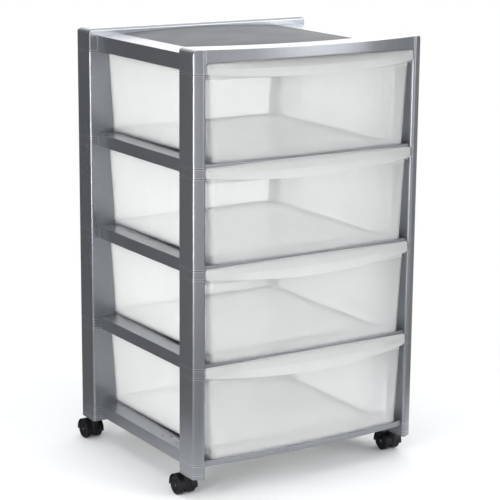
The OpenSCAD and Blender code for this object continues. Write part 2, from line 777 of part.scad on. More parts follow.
top_frame();
top_panel();
base_frame();
for (t = [1:tiers - 1]) {
    shelf_frame(t);
}
for (t = [1:tiers]) {
    drawer(t);
}
for (c = CORNERS, t = [1:tiers]) {
    post(c, t);
}
for (c = CORNERS) {
    foot_cap(c);
    castor_stem(c);
    castor_hood(c);
    castor_axle(c);
}
for (c = CORNERS, s = SIDES) {
    wheel(c, s);
}
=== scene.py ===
"""Looks of the drawer tower: finishes, small details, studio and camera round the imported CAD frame."""

from __future__ import annotations

import json
import logging
import math
from dataclasses import dataclass
from enum import Enum
from typing import Any, Iterable, Sequence

import bpy
from mathutils import Matrix, Vector
from mathutils.bvhtree import BVHTree

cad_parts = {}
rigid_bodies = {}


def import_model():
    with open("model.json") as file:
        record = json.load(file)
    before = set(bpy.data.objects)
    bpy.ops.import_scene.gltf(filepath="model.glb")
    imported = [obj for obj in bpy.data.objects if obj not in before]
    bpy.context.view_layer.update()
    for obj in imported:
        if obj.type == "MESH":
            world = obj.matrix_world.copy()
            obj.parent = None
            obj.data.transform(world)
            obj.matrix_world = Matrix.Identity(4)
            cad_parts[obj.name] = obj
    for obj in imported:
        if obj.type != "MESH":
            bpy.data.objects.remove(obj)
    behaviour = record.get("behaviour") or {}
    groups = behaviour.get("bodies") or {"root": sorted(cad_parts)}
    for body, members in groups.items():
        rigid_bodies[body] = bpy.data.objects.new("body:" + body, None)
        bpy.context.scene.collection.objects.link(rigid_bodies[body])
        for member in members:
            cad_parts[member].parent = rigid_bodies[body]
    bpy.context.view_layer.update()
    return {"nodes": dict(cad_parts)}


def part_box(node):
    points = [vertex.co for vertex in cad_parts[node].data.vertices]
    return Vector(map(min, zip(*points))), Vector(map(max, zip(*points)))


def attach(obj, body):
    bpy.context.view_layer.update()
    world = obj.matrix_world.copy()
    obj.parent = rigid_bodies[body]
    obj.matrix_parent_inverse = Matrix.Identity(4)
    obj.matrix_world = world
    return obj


LOG = logging.getLogger("tower")
MM = 0.001
CORNERS = ("front_left", "front_right", "rear_left", "rear_right")
TIERS = (1, 2, 3, 4)
X, Y, Z = 0, 1, 2
SMOOTH_BELOW_DEGREES = 32
RAY_START_Y = -1.0

Vec = tuple[float, float, float]
Colour = tuple[float, float, float]
Pair = tuple[float, float]
Socket = bpy.types.NodeSocket

WHITE: Colour = (1.0, 1.0, 1.0)
NOISE_ENDS: Pair = (0.3, 0.7)


# ---------- measures ----------


@dataclass(frozen=True)
class Measures:
    """Sizes of the tower that the looks need, in metres, in the frame of the CAD."""

    half_w: float = 200 * MM
    front_y: float = -163.7 * MM
    frame_d: float = 356 * MM
    post_d: float = 42.5 * MM
    front_post_w: float = 18.2 * MM
    base_z: float = 42 * MM
    pitch: float = 148 * MM
    block_h: float = 14 * MM
    rail_h: float = 19 * MM
    rail_x: float = 186 * MM
    ledge_w: float = 44 * MM
    wall: float = 2.5 * MM
    handle_over: float = 0.9 * MM
    handle_rise: float = 4 * MM

    @property
    def back_y(self) -> float:
        """Back face of the rear posts."""
        return self.front_y + self.frame_d

    @property
    def post_in_y(self) -> float:
        """Back face of the front posts."""
        return self.front_y + self.post_d

    @property
    def stop_y(self) -> float:
        """Front face of the rear posts."""
        return self.back_y - self.post_d

    def frame_z(self, tier: int) -> float:
        """Underside of the frame that carries a drawer.

        Args:
            tier: The drawer's number, 1 at the top.

        Returns:
            The height in metres.
        """
        return self.base_z + (len(TIERS) - tier) * self.pitch


# ---------- node trees ----------


class Graph:
    """A short way to fill a node tree."""

    def __init__(self, tree: bpy.types.NodeTree) -> None:
        """Takes a tree and empties it."""
        self.tree = tree
        tree.nodes.clear()

    def add(self, kind: str, inputs: dict[Any, Any] | None = None, **props: Any) -> bpy.types.Node:
        """Adds a node.

        Args:
            kind: The node's type.
            inputs: Values or sockets by the input's name or number.
            props: Properties of the node.

        Returns:
            The new node.
        """
        node = self.tree.nodes.new(kind)
        for key, value in props.items():
            setattr(node, key, value)
        for key, value in (inputs or {}).items():
            if isinstance(value, Socket):
                self.tree.links.new(value, node.inputs[key])
            else:
                node.inputs[key].default_value = value
        return node

    def calc(self, operation: str, *values: Socket | float) -> Socket:
        """The result of a sum or a test.

        Args:
            operation: The math node's operation.
            values: Its numbers or sockets, in order.

        Returns:
            The result.
        """
        return self.add("ShaderNodeMath", dict(enumerate(values)), operation=operation).outputs[0]

    def ramp(
        self,
        value: Socket,
        start: float,
        end: float,
        low: Socket | float = 0.0,
        high: Socket | float = 1.0,
        **props: Any,
    ) -> Socket:
        """Maps a value from one range to another, and holds the ends beyond it.

        Args:
            value: The value to map.
            start: Where the range begins.
            end: Where the range ends.
            low: The result at the start.
            high: The result at the end.
            props: Properties of the node.

        Returns:
            The mapped value.
        """
        inputs = {"Value": value, "From Min": start, "From Max": end, "To Min": low, "To Max": high}
        return self.add("ShaderNodeMapRange", inputs, **props).outputs[0]

    def axes(self, vector: Socket) -> Sequence[Socket]:
        """The parts of a vector along X, Y and Z."""
        return self.add("ShaderNodeSeparateXYZ", {0: vector}).outputs

    def mix(self, share: Socket, first: Socket | float, second: Socket | float) -> Socket:
        """A number between two others, the second by its share."""
        inputs = {0: share, 2: first, 3: second}
        return self.add("ShaderNodeMix", inputs, data_type="FLOAT").outputs[0]

    def blend(self, share: Socket | float, first: Socket, second: Socket) -> Socket:
        """Two shaders in one, the second by its share."""
        return self.add("ShaderNodeMixShader", {0: share, 1: first, 2: second}).outputs[0]


class Nodes(Graph):
    """The node tree of a material, with what the finishes share."""

    def __init__(self, name: str) -> None:
        """Makes an empty material.

        Args:
            name: The material's name.
        """
        self.material = bpy.data.materials.new(name)
        self.material.use_nodes = True
        super().__init__(self.material.node_tree)
        self.coords = self.add("ShaderNodeTexCoord").outputs["Object"]

    def noise(self, scale: float, detail: float = 3.0, stretch: Vec = (1, 1, 1)) -> Socket:
        """Noise in the object's own coordinates.

        Args:
            scale: Features per metre.
            detail: Octaves of the noise.
            stretch: Factor for each axis, below 1 to draw the noise out along it.

        Returns:
            The noise's value.
        """
        mapped = self.add("ShaderNodeMapping", {"Vector": self.coords, "Scale": stretch}).outputs[0]
        inputs = {"Vector": mapped, "Scale": scale, "Detail": detail}
        return self.add("ShaderNodeTexNoise", inputs).outputs[0]

    def spread(self, noise: Socket, ends: Pair) -> Socket:
        """Maps noise, which keeps to the middle of 0..1, to a range."""
        return self.ramp(noise, *NOISE_ENDS, *ends)

    def tint(self, base: Colour, factor: Socket) -> Socket:
        """A colour made lighter or darker by a factor."""
        return self.add("ShaderNodeVectorMath", {0: base, "Scale": factor}, operation="SCALE").outputs[0]

    def soft_edges(self, radius: float, samples: int) -> Socket:
        """The normal of a surface whose edges look rounded to a radius."""
        return self.add("ShaderNodeBevel", {"Radius": radius}, samples=samples).outputs[0]

    def bump(self, height: Socket, distance: float, normal: Socket | None = None) -> Socket:
        """A bumped normal.

        Args:
            height: Height from 0 to 1.
            distance: Height of the bumps in metres.
            normal: The normal to start from, if it isn't the surface's own.

        Returns:
            The bumped normal.
        """
        inputs: dict[Any, Any] = {"Height": height, "Distance": distance, "Strength": 1.0}
        if normal is not None:
            inputs["Normal"] = normal
        return self.add("ShaderNodeBump", inputs).outputs[0]

    def finish(self, shader: Socket) -> bpy.types.Material:
        """Joins the shader to the output and returns the material."""
        self.add("ShaderNodeOutputMaterial", {"Surface": shader})
        return self.material


# ---------- finishes ----------


class Surface(Enum):
    """The tower's finishes, each by its slot in the record."""

    SILVER = "silver_plastic"
    PANEL = "grey_panel"
    FROSTED = "frosted_drawer"
    HOOD = "castor_hood"
    WHEEL = "castor_wheel"
    STEEL = "castor_steel"


@dataclass(frozen=True)
class SilverPlastic:
    """Moulded plastic with fine metal flakes and soft edges, with painted shade in the seams at the
    joints and a painted highlight beside each seam.

    The seams are heights, and run only round the corners. A corner is what lies farther
    out than the first number of its pair and, along Y, beyond the second.
    """

    seams: tuple[float, ...]
    colour: Colour = (0.252, 0.265, 0.284)
    metallic: float = 0.84
    roughness: Pair = (0.26, 0.33)
    coat: float = 0.35
    coat_roughness: float = 0.16
    edge: float = 1.5 * MM
    edge_samples: int = 4
    flake_scale: float = 2600
    flake_shade: Pair = (0.90, 1.10)
    flow_scale: float = 9
    flow_stretch: Vec = (1, 1, 0.25)
    flow_shade: Pair = (0.94, 1.06)
    drawn_scale: float = 420
    drawn_stretch: Vec = (1, 1, 0.02)
    drawn_shade: Pair = (0.98, 1.02)
    grain_scale: float = 1400
    grain: float = 0.004 * MM
    # Painted shade in each seam between a post and its blocks.
    seam_shadow_half: float = 0.5 * MM
    seam_shadow: float = -1.45
    # Painted highlight on a wider band round each seam, as on a bevel catching light.
    seam_highlight_half: float = 1.5 * MM
    seam_highlight: float = 0.65
    front_corner: Pair = (181 * MM, -120.5 * MM)
    rear_corner: Pair = (156 * MM, 149 * MM)
    post_mid_x: float = 190.9 * MM
    post_half: float = 9.1 * MM
    post_back_y: float = -150 * MM
    ahead: float = -0.8
    crown: float = 0.20

    def corner_mask(self, nodes: Nodes) -> Socket:
        """Finds the corners, which the seams keep to.

        Args:
            nodes: The material's nodes.

        Returns:
            1 on the posts and the corner blocks, 0 on the rails between them.
        """
        place = nodes.axes(nodes.coords)
        across = nodes.calc("ABSOLUTE", place[X])
        corners = []
        for (inner, end), test in ((self.front_corner, "LESS_THAN"), (self.rear_corner, "GREATER_THAN")):
            outer = nodes.calc("GREATER_THAN", across, inner)
            beyond = nodes.calc(test, place[Y], end)
            corners.append(nodes.calc("MULTIPLY", outer, beyond))
        return nodes.calc("MAXIMUM", *corners)

    def seam_mask(self, nodes: Nodes, half: float) -> Socket:
        """Finds the seams between a post and the blocks above and below it, where shade and a highlight
        are painted.

        Args:
            nodes: The material's nodes.
            half: How far the mask reaches on each side of a seam.

        Returns:
            1 on the seams, else 0.
        """
        height = nodes.axes(nodes.coords)[Z]
        found: Socket | float = 0.0
        for seam in self.seams:
            found = nodes.calc("MAXIMUM", found, nodes.calc("COMPARE", height, seam, half))
        return nodes.calc("MULTIPLY", found, self.corner_mask(nodes))

    def crowned(self, nodes: Nodes, normal: Socket) -> Socket:
        """Turns the normal across the front faces of the front posts, as on a slightly round face.

        Args:
            nodes: The material's nodes.
            normal: The normal to start from.

        Returns:
            The turned normal.
        """
        place = nodes.axes(nodes.coords)
        across = nodes.calc("SUBTRACT", nodes.calc("ABSOLUTE", place[X]), self.post_mid_x)
        turn = nodes.calc("MULTIPLY", across, self.crown / self.post_half)
        for factor in (
            nodes.calc("SIGN", place[X]),
            nodes.calc("COMPARE", across, 0.0, self.post_half),
            nodes.calc("LESS_THAN", nodes.axes(normal)[Y], self.ahead),
            nodes.calc("LESS_THAN", place[Y], self.post_back_y),
        ):
            turn = nodes.calc("MULTIPLY", turn, factor)
        lean = nodes.add("ShaderNodeCombineXYZ", {0: turn}).outputs[0]
        both = nodes.add("ShaderNodeVectorMath", {0: normal, 1: lean}, operation="ADD").outputs[0]
        return nodes.add("ShaderNodeVectorMath", {0: both}, operation="NORMALIZE").outputs[0]

    def build(self) -> bpy.types.Material:
        """Builds the finish.

        Returns:
            The material.
        """
        nodes = Nodes(Surface.SILVER.value)
        flake = nodes.noise(self.flake_scale, detail=1)
        flow = nodes.noise(self.flow_scale, detail=4, stretch=self.flow_stretch)
        drawn = nodes.noise(self.drawn_scale, detail=2, stretch=self.drawn_stretch)
        grain = nodes.noise(self.grain_scale, detail=2)
        specks = nodes.spread(flake, self.flake_shade)
        shade = nodes.calc("MULTIPLY", specks, nodes.spread(flow, self.flow_shade))
        shade = nodes.calc("MULTIPLY", shade, nodes.spread(drawn, self.drawn_shade))
        # Painted highlight round each seam.
        seam_highlight_factor = nodes.calc("MULTIPLY_ADD", self.seam_mask(nodes, self.seam_highlight_half), self.seam_highlight, 1.0)
        # Painted shade in the seam, on top of the painted highlight round it.
        seam_shade_and_highlight = nodes.calc("MULTIPLY_ADD", self.seam_mask(nodes, self.seam_shadow_half), self.seam_shadow, seam_highlight_factor)
        shade = nodes.calc("MULTIPLY", shade, seam_shade_and_highlight)
        normal = self.crowned(nodes, nodes.soft_edges(self.edge, self.edge_samples))
        shader = nodes.add(
            "ShaderNodeBsdfPrincipled",
            {
                "Base Color": nodes.tint(self.colour, shade),
                "Metallic": self.metallic,
                "Roughness": nodes.spread(flow, self.roughness),
                "Coat Weight": self.coat,
                "Coat Roughness": self.coat_roughness,
                "Normal": nodes.bump(grain, self.grain, normal),
            },
        )
        return nodes.finish(shader.outputs[0])


@dataclass(frozen=True)
class MattePanel:
    """Dark grey moulded panel with a fine spark-eroded grain."""

    colour: Colour = (0.080, 0.089, 0.100)
    metallic: float = 0.1
    specular: float = 0.35
    roughness: Pair = (0.50, 0.60)
    cloud_scale: float = 14
    cloud_shade: Pair = (0.95, 1.05)
    grain_scale: float = 1500
    grain: float = 0.05 * MM

    def build(self) -> bpy.types.Material:
        """Builds the finish.

        Returns:
            The material.
        """
        nodes = Nodes(Surface.PANEL.value)
        inputs = {"Vector": nodes.coords, "Scale": self.grain_scale, "Randomness": 1.0}
        cells = nodes.add("ShaderNodeTexVoronoi", inputs).outputs[0]
        cloud = nodes.noise(self.cloud_scale, detail=4)
        shader = nodes.add(
            "ShaderNodeBsdfPrincipled",
            {
                "Base Color": nodes.tint(self.colour, nodes.spread(cloud, self.cloud_shade)),
                "Metallic": self.metallic,
                "Specular IOR Level": self.specular,
                "Roughness": nodes.spread(cloud, self.roughness),
                "Normal": nodes.bump(cells, self.grain),
            },
        )
        return nodes.finish(shader.outputs[0])


@dataclass(frozen=True)
class FrostedPlastic:
    """Milky, half see-through polypropylene: light both scatters in it and passes blurred.

    Heights are above the underside of a drawer. A clarity is the share of light that
    passes, and a facing says how squarely a wall or floor has to lie to count as one.
    Shade is painted in the bend between floor and walls, at the step in the sides and on the handle.
    """

    colour: Colour = (0.975, 0.98, 0.975)
    through: Colour = (0.996, 0.998, 0.997)
    # Painted shade in the bend between floor and walls and at the step in the sides.
    bend_shade_colour: Colour = (0.48, 0.52, 0.55)
    clarity: float = 0.68
    side_clarity: float = 0.43
    floor_clarity: float = 0.14
    corner_clarity: float = 0.68
    side_facing: Pair = (0.4, 0.9)
    floor_facing: Pair = (0.6, 1.0)
    glow: float = 0.55
    blur: float = 0.07
    haze_ior: float = 1.06
    plastic_ior: float = 1.49
    gloss: Pair = (0.21, 0.29)
    cloud_scale: float = 22
    cloud_stretch: Vec = (1, 1, 0.5)
    cloud_shade: Pair = (0.985, 1.01)
    ripple: float = 0.02 * MM
    grain_scale: float = 1800
    grain: float = 0.001 * MM
    floor_z: float = 61.3 * MM
    pitch: float = 148 * MM
    bend_heights: Pair = (2.3 * MM, 5.4 * MM)
    bend_facing: Pair = (0.22, 0.97)
    step_y: float = -123.2 * MM
    step_half: float = 2.6 * MM
    step_share: float = 0.5
    # Clarity given up where the bend shade is painted.
    bend_shade_clarity_loss: float = 0.6
    handle_from: float = 119 * MM
    handle_blend: float = 2 * MM
    # Painted shade on the handle band, whose clarity drops with it.
    handle_painted_shade: float = 0.80
    handle_milk: float = 0.55

    def height(self, nodes: Nodes) -> Socket:
        """Height above the underside of the drawer that the point belongs to."""
        above = nodes.calc("SUBTRACT", nodes.axes(nodes.coords)[Z], self.floor_z)
        return nodes.calc("FLOORED_MODULO", above, self.pitch)

    def facing(self, nodes: Nodes, axis: int) -> Socket:
        """How squarely the surface faces one way or the other along an axis, 0 to 1."""
        normal = nodes.add("ShaderNodeNewGeometry").outputs["True Normal"]
        return nodes.calc("ABSOLUTE", nodes.axes(normal)[axis])

    def bend_shade_mask(self, nodes: Nodes) -> Socket:
        """Finds where shade is painted, for the plastic being thicker or seen along its skin there.

        Args:
            nodes: The material's nodes.

        Returns:
            1 in the bend between floor and walls, part of it where the sides step in, else 0.
        """
        bend: Socket | float = 1.0
        for value, (low, high) in (
            (self.height(nodes), self.bend_heights),
            (self.facing(nodes, Z), self.bend_facing),
        ):
            above = nodes.calc("GREATER_THAN", value, low)
            below = nodes.calc("LESS_THAN", value, high)
            bend = nodes.calc("MULTIPLY", bend, nodes.calc("MULTIPLY", above, below))
        step = nodes.calc("COMPARE", nodes.axes(nodes.coords)[Y], self.step_y, self.step_half)
        return nodes.calc("MAXIMUM", bend, nodes.calc("MULTIPLY", step, self.step_share))

    def clearness(self, nodes: Nodes) -> Socket:
        """How much light passes unscattered.

        Args:
            nodes: The material's nodes.

        Returns:
            The share: most in the front, less in the sides, least in the floor.
        """
        along = nodes.axes(nodes.coords)[Y]
        step_front = self.step_y - self.step_half
        side = nodes.ramp(along, step_front, self.step_y, self.corner_clarity, self.side_clarity)
        wall = nodes.ramp(self.facing(nodes, X), *self.side_facing, self.clarity, side)
        level = nodes.ramp(self.facing(nodes, Z), *self.floor_facing)
        return nodes.mix(level, wall, self.floor_clarity)

    def build(self) -> bpy.types.Material:
        """Builds the finish.

        Returns:
            The material.
        """
        nodes = Nodes(Surface.FROSTED.value)
        cloud = nodes.noise(self.cloud_scale, detail=3, stretch=self.cloud_stretch)
        grain = nodes.noise(self.grain_scale, detail=2)
        normal = nodes.bump(cloud, self.ripple, nodes.bump(grain, self.grain))
        handle_to = self.handle_from + self.handle_blend
        # Painted shade darkens the handle band.
        handle = nodes.ramp(self.height(nodes), self.handle_from, handle_to, 1.0, self.handle_painted_shade)
        tone = nodes.calc("MULTIPLY", nodes.spread(cloud, self.cloud_shade), handle)
        # Painted shade in the bend and at the step.
        painted_bend = self.bend_shade_mask(nodes)
        colours = {0: painted_bend, "A": nodes.tint(self.colour, tone), "B": self.bend_shade_colour}
        shade = nodes.add("ShaderNodeMix", colours, data_type="VECTOR").outputs["Result"]
        body = nodes.add(
            "ShaderNodeBsdfPrincipled",
            {
                "Base Color": shade,
                "Roughness": nodes.spread(grain, self.gloss),
                "IOR": self.plastic_ior,
                "Normal": normal,
            },
        ).outputs[0]
        glow = nodes.add("ShaderNodeBsdfTranslucent", {"Color": shade, "Normal": normal}).outputs[0]
        milk = nodes.blend(self.glow, body, glow)
        haze = nodes.add(
            "ShaderNodeBsdfRefraction",
            {
                "Color": (*self.through, 1.0),
                "Roughness": self.blur,
                "IOR": self.haze_ior,
                "Normal": normal,
            },
        ).outputs[0]
        # Less clarity where the handle shade is painted.
        milky = nodes.ramp(handle, self.handle_painted_shade, 1.0, self.handle_milk, 1.0)
        kept = nodes.calc("MULTIPLY_ADD", painted_bend, -self.bend_shade_clarity_loss, milky)
        clear = nodes.calc("MULTIPLY", self.clearness(nodes), kept)
        return nodes.finish(nodes.blend(clear, milk, haze))


@dataclass(frozen=True)
class BlackPlastic:
    """Black castor plastic, the hoods with a fine grain and the wheels smoother with worn treads."""

    name: str
    colour: Colour = (0.0045, 0.0042, 0.006)
    shade: Pair = (0.8, 1.25)
    roughness: Pair = (0.45, 0.58)
    specular: float = 0.22
    grain: float = 0.02 * MM
    grain_scale: float = 1300
    cloud_scale: float = 60
    edge: float = 0.5 * MM
    edge_samples: int = 3

    def build(self) -> bpy.types.Material:
        """Builds the finish.

        Returns:
            The material.
        """
        nodes = Nodes(self.name)
        fine = nodes.noise(self.grain_scale, detail=2)
        cloud = nodes.noise(self.cloud_scale, detail=3)
        edges = nodes.soft_edges(self.edge, self.edge_samples)
        shader = nodes.add(
            "ShaderNodeBsdfPrincipled",
            {
                "Base Color": nodes.tint(self.colour, nodes.spread(cloud, self.shade)),
                "Roughness": nodes.spread(cloud, self.roughness),
                "Specular IOR Level": self.specular,
                "Normal": nodes.bump(fine, self.grain, edges),
            },
        )
        return nodes.finish(shader.outputs[0])


@dataclass(frozen=True)
class TurnedSteel:
    """Steel with the fine rings of a lathe."""

    colour: Colour = (0.52, 0.52, 0.53)
    roughness: Pair = (0.24, 0.38)
    ring_scale: float = 500
    ring_stretch: Vec = (0.1, 0.1, 6)
    ring_height: float = 0.01 * MM

    def build(self) -> bpy.types.Material:
        """Builds the finish.

        Returns:
            The material.
        """
        nodes = Nodes(Surface.STEEL.value)
        rings = nodes.noise(self.ring_scale, detail=2, stretch=self.ring_stretch)
        shader = nodes.add(
            "ShaderNodeBsdfPrincipled",
            {
                "Base Color": (*self.colour, 1.0),
                "Metallic": 1.0,
                "Roughness": nodes.spread(rings, self.roughness),
                "Normal": nodes.bump(rings, self.ring_height),
            },
        )
        return nodes.finish(shader.outputs[0])


class Paintbox:
    """Builds each finish once and puts it on nodes and pieces."""

    def __init__(self, sizes: Measures) -> None:
        """Builds all finishes.

        Args:
            sizes: The tower's sizes, for the heights of the seams.
        """
        seams = [sizes.base_z]
        for tier in TIERS:
            low = sizes.frame_z(tier)
            seams += [low + sizes.block_h, low + sizes.pitch]
        hood = BlackPlastic(Surface.HOOD.value)
        wheel = BlackPlastic(
            Surface.WHEEL.value,
            colour=(0.0045, 0.0045, 0.006),
            shade=(0.8, 1.75),
            roughness=(0.51, 0.64),
            grain=0.01 * MM,
        )
        self.materials: dict[Surface, bpy.types.Material] = {
            Surface.SILVER: SilverPlastic(tuple(seams)).build(),
            Surface.PANEL: MattePanel().build(),
            Surface.FROSTED: FrostedPlastic().build(),
            Surface.HOOD: hood.build(),
            Surface.WHEEL: wheel.build(),
            Surface.STEEL: TurnedSteel().build(),
        }

    def paint(self, obj: bpy.types.Object, surface: Surface) -> None:
        """Gives an object one finish.

        Args:
            obj: The CAD node or piece.
            surface: The finish.
        """
        obj.data.materials.clear()
        obj.data.materials.append(self.materials[surface])


# ---------- Geometry Nodes ----------


class Growth(Graph):
    """A Geometry Nodes tree with named inputs, run on an object and turned into a plain mesh."""

    def __init__(self, name: str, inputs: dict[str, str]) -> None:
        """Makes the tree.

        Args:
            name: The tree's name.
            inputs: Socket type by the input's name, beside the geometry and the material.
        """
        super().__init__(bpy.data.node_groups.new(name, "GeometryNodeTree"))
        self.ids: dict[str, str] = {}
        face = self.tree.interface
        face.new_socket("Geometry", in_out="INPUT", socket_type="NodeSocketGeometry")
        for key, kind in {**inputs, "Material": "NodeSocketMaterial"}.items():
            self.ids[key] = face.new_socket(key, in_out="INPUT", socket_type=kind).identifier
        face.new_socket("Geometry", in_out="OUTPUT", socket_type="NodeSocketGeometry")
        self.source = self.add("NodeGroupInput")

    def given(self, key: str) -> Socket:
        """The socket that carries a named input."""
        return self.source.outputs[key]

    def close(self, geometry: Socket) -> None:
        """Ends the tree in Realize Instances and Set Material.

        Args:
            geometry: What the tree has made.
        """
        real = self.add("GeometryNodeRealizeInstances", {0: geometry}).outputs[0]
        inputs = {"Geometry": real, "Material": self.given("Material")}
        dressed = self.add("GeometryNodeSetMaterial", inputs).outputs[0]
        self.add("NodeGroupOutput", {0: dressed})

    def grow(self, name: str, base: bpy.types.Mesh, values: dict[str, Any]) -> bpy.types.Object:
        """Runs the tree on a mesh.

        Args:
            name: Name of the new piece.
            base: The mesh the tree starts from.
            values: Values by the input's name.

        Returns:
            A new object with a plain mesh.
        """
        carrier = bpy.data.objects.new(name + "_carrier", base)
        bpy.context.scene.collection.objects.link(carrier)
        modifier = carrier.modifiers.new(self.tree.name, "NODES")
        modifier.node_group = self.tree
        for key, value in values.items():
            modifier[self.ids[key]] = value
        graph = bpy.context.evaluated_depsgraph_get()
        made = bpy.data.meshes.new_from_object(carrier.evaluated_get(graph), depsgraph=graph)
        made.name = name
        carrier.modifiers.remove(modifier)
        bpy.data.objects.remove(carrier)
        piece = bpy.data.objects.new(name, made)
        bpy.context.scene.collection.objects.link(piece)
        return piece


def point_mesh(name: str, points: Sequence[Vec], joined: bool = False) -> bpy.types.Mesh:
    """A mesh of bare points.

    Args:
        name: The mesh's name.
        points: The points in metres.
        joined: Whether an edge joins each point to the next.

    Returns:
        The mesh.
    """
    mesh = bpy.data.meshes.new(name)
    edges = [(i, i + 1) for i in range(len(points) - 1)] if joined else []
    mesh.from_pydata([Vector(p) for p in points], edges, [])
    return mesh


def bead_tree() -> Growth:
    """A round bead swept along a line of points.

    Returns:
        The tree, with the bead's radius and number of sides as inputs.
    """
    tree = Growth("bead", {"Radius": "NodeSocketFloat", "Sides": "NodeSocketInt"})
    path = tree.add("GeometryNodeMeshToCurve", {0: tree.given("Geometry")}).outputs[0]
    round_section = {"Resolution": tree.given("Sides"), "Radius": tree.given("Radius")}
    ring = tree.add("GeometryNodeCurvePrimitiveCircle", round_section, mode="RADIUS").outputs[0]
    swept = tree.add(
        "GeometryNodeCurveToMesh", {"Curve": path, "Profile Curve": ring, "Fill Caps": True}
    ).outputs[0]
    smooth = tree.add("GeometryNodeSetShadeSmooth", {"Geometry": swept, "Shade Smooth": True})
    tree.close(smooth.outputs[0])
    return tree


def rib_tree() -> Growth:
    """Equal ribs, one on each point.

    Returns:
        The tree, with the size of a rib as an input.
    """
    tree = Growth("ribs", {"Size": "NodeSocketVector"})
    rib = tree.add("GeometryNodeMeshCube", {"Size": tree.given("Size")}).outputs[0]
    inputs = {"Points": tree.given("Geometry"), "Instance": rib}
    tree.close(tree.add("GeometryNodeInstanceOnPoints", inputs).outputs[0])
    return tree


def spoke_tree() -> Growth:
    """Spokes in a ring about X round each point.

    Returns:
        The tree, with the spokes' number, distance from the point and size as inputs.
    """
    tree = Growth(
        "spokes", {"Count": "NodeSocketInt", "Reach": "NodeSocketFloat", "Size": "NodeSocketVector"}
    )
    bar = tree.add("GeometryNodeMeshCube", {"Size": tree.given("Size")}).outputs[0]
    offset = tree.add("ShaderNodeCombineXYZ", {"Z": tree.given("Reach")}).outputs[0]
    out = tree.add("GeometryNodeTransform", {"Geometry": bar, "Translation": offset}).outputs[0]
    ring_inputs = {"Count": tree.given("Count"), "Offset": (0.0, 0.0, 0.0)}
    ring = tree.add("GeometryNodeMeshLine", ring_inputs).outputs[0]
    index = tree.add("GeometryNodeInputIndex").outputs[0]
    step = tree.calc("DIVIDE", 2 * math.pi, tree.given("Count"))
    angle = tree.calc("MULTIPLY", index, step)
    turn = tree.add("ShaderNodeCombineXYZ", {"X": angle}).outputs[0]
    wheel_inputs = {"Points": ring, "Instance": out, "Rotation": turn}
    wheel = tree.add("GeometryNodeInstanceOnPoints", wheel_inputs).outputs[0]
    inputs = {"Points": tree.given("Geometry"), "Instance": wheel}
    tree.close(tree.add("GeometryNodeInstanceOnPoints", inputs).outputs[0])
    return tree


# ---------- sub-assemblies ----------


@dataclass
class Shell:
    """The standing frame: posts, ring frames, top frame, panel and foot caps."""

    sizes: Measures
    paints: Paintbox
    rib_t: float = 1.4 * MM
    rib_pitch: float = 34 * MM
    rib_clear: float = 16 * MM
    rib_bite: float = 0.2 * MM

    def dress(self, nodes: dict[str, bpy.types.Object]) -> None:
        """Gives the standing nodes their finishes.

        Args:
            nodes: The CAD nodes by name.
        """
        for name, obj in nodes.items():
            if name == "top_panel":
                self.paints.paint(obj, Surface.PANEL)
            elif "post" in name or "frame" in name or "foot_cap" in name:
                self.paints.paint(obj, Surface.SILVER)

    def rib_points(self, low: float, depth: float) -> tuple[list[Vec], Vec]:
        """Where the stiffening ribs in a frame's two hollow side rails stand.

        Args:
            low: Underside of the frame.
            depth: Height of the hollow.

        Returns:
            The ribs' middles and the size of one rib.
        """
        s = self.sizes
        inner = s.ledge_w - 2 * s.wall
        mid_x = s.rail_x - s.ledge_w / 2
        start, end = s.post_in_y + s.wall + self.rib_clear, s.stop_y - s.wall - self.rib_clear
        count = int((end - start) / self.rib_pitch) + 1
        ys = [start + (end - start) * k / (count - 1) for k in range(count)]
        points = [(sx * mid_x, y, low + depth / 2) for sx in (-1, 1) for y in ys]
        return points, (inner + 2 * self.rib_bite, self.rib_t, depth)

    def build(self, ribs: Growth) -> None:
        """Grows the ribs in the hollow undersides of the side rails.

        Args:
            ribs: The tree that makes them.
        """
        depth = self.sizes.rail_h - self.sizes.wall
        material = self.paints.materials[Surface.SILVER]
        for tier in TIERS:
            points, size = self.rib_points(self.sizes.frame_z(tier), depth)
            name = f"frame_{tier}_side_ribs"
            piece = ribs.grow(name, point_mesh(name, points), {"Size": size, "Material": material})
            keep(piece, "frame")


@dataclass
class Drawer:
    """One frosted drawer with the bead along its handle."""

    tier: int
    sizes: Measures
    paints: Paintbox
    bead_r: float = 0.55 * MM
    bead_sides: int = 8
    bead_down: float = 3.4 * MM
    bead_sink: float = 0.15 * MM
    half: float = 172 * MM
    samples: int = 72

    @property
    def name(self) -> str:
        """The drawer's node and body."""
        return f"drawer_{self.tier}"

    def dress(self, nodes: dict[str, bpy.types.Object]) -> None:
        """Gives the drawer its finish.

        Args:
            nodes: The CAD nodes by name.
        """
        self.paints.paint(nodes[self.name], Surface.FROSTED)

    def bead_path(self, skin: bpy.types.Object) -> list[Vec]:
        """Points on the handle's front, a little below its arched top edge.

        Args:
            skin: The drawer's CAD node.

        Returns:
            The points from left to right.
        """
        s = self.sizes
        corners = [v.co for v in skin.data.vertices]
        tree = BVHTree.FromPolygons(corners, [p.vertices for p in skin.data.polygons])
        top = s.frame_z(self.tier) + s.pitch + s.block_h + s.handle_over
        found: list[Vec] = []
        for k in range(self.samples + 1):
            x = self.half * (2 * k / self.samples - 1)
            z = top + s.handle_rise * (1 - (x / (s.half_w - s.front_post_w)) ** 2) - self.bead_down
            hit, _, _, _ = tree.ray_cast(Vector((x, RAY_START_Y, z)), Vector((0, 1, 0)))
            if hit is not None:
                found.append((hit.x, hit.y + self.bead_sink, hit.z))
        return found

    def build(self, skin: bpy.types.Object, bead: Growth) -> None:
        """Grows the bead along the handle.

        Args:
            skin: The drawer's CAD node.
            bead: The tree that makes it.
        """
        name = f"{self.name}_handle_bead"
        values = {
            "Radius": self.bead_r,
            "Sides": self.bead_sides,
            "Material": self.paints.materials[Surface.FROSTED],
        }
        piece = bead.grow(name, point_mesh(name, self.bead_path(skin), joined=True), values)
        keep(piece, self.name)


